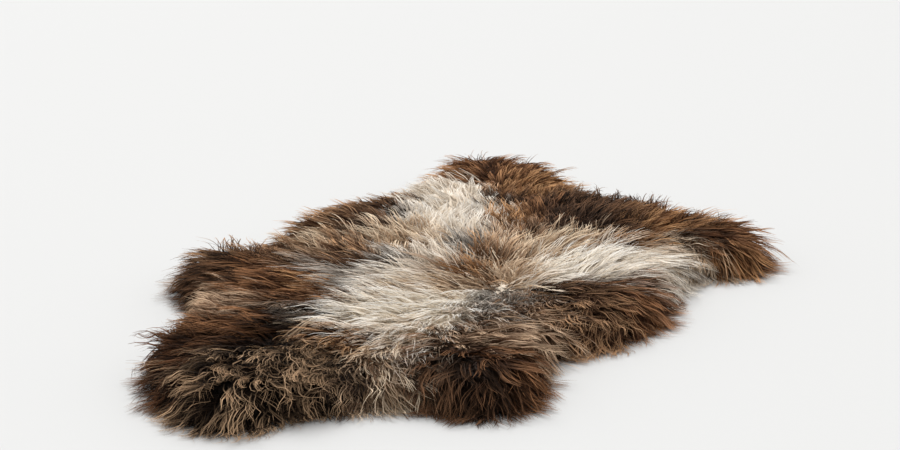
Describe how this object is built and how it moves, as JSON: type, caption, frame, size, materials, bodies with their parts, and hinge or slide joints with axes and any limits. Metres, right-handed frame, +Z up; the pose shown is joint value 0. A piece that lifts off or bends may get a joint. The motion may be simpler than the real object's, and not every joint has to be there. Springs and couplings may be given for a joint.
{
  "type": "sheepskin",
  "caption": "Natural long-wool sheepskin laid flat, wool side up, with a tanned hide under a lumpy brown and cream fleece whose locks fan out past the hide all round.",
  "frame": {"origin": "middle of the footprint, on the surface that the skin lies on", "axes": "+Y along the spine from the tail to the neck, +X towards the right side of the animal, +Z up out of the wool"},
  "size_m": [0.834, 1.1766, 0.064],
  "materials": {
    "tanned_hide": "matt suede",
    "wool": "soft wool, brown with cream patches"
  },
  "bodies": {
    "root": {"hide": "tanned_hide", "fleece": "wool"}
  },
  "joints": []
}
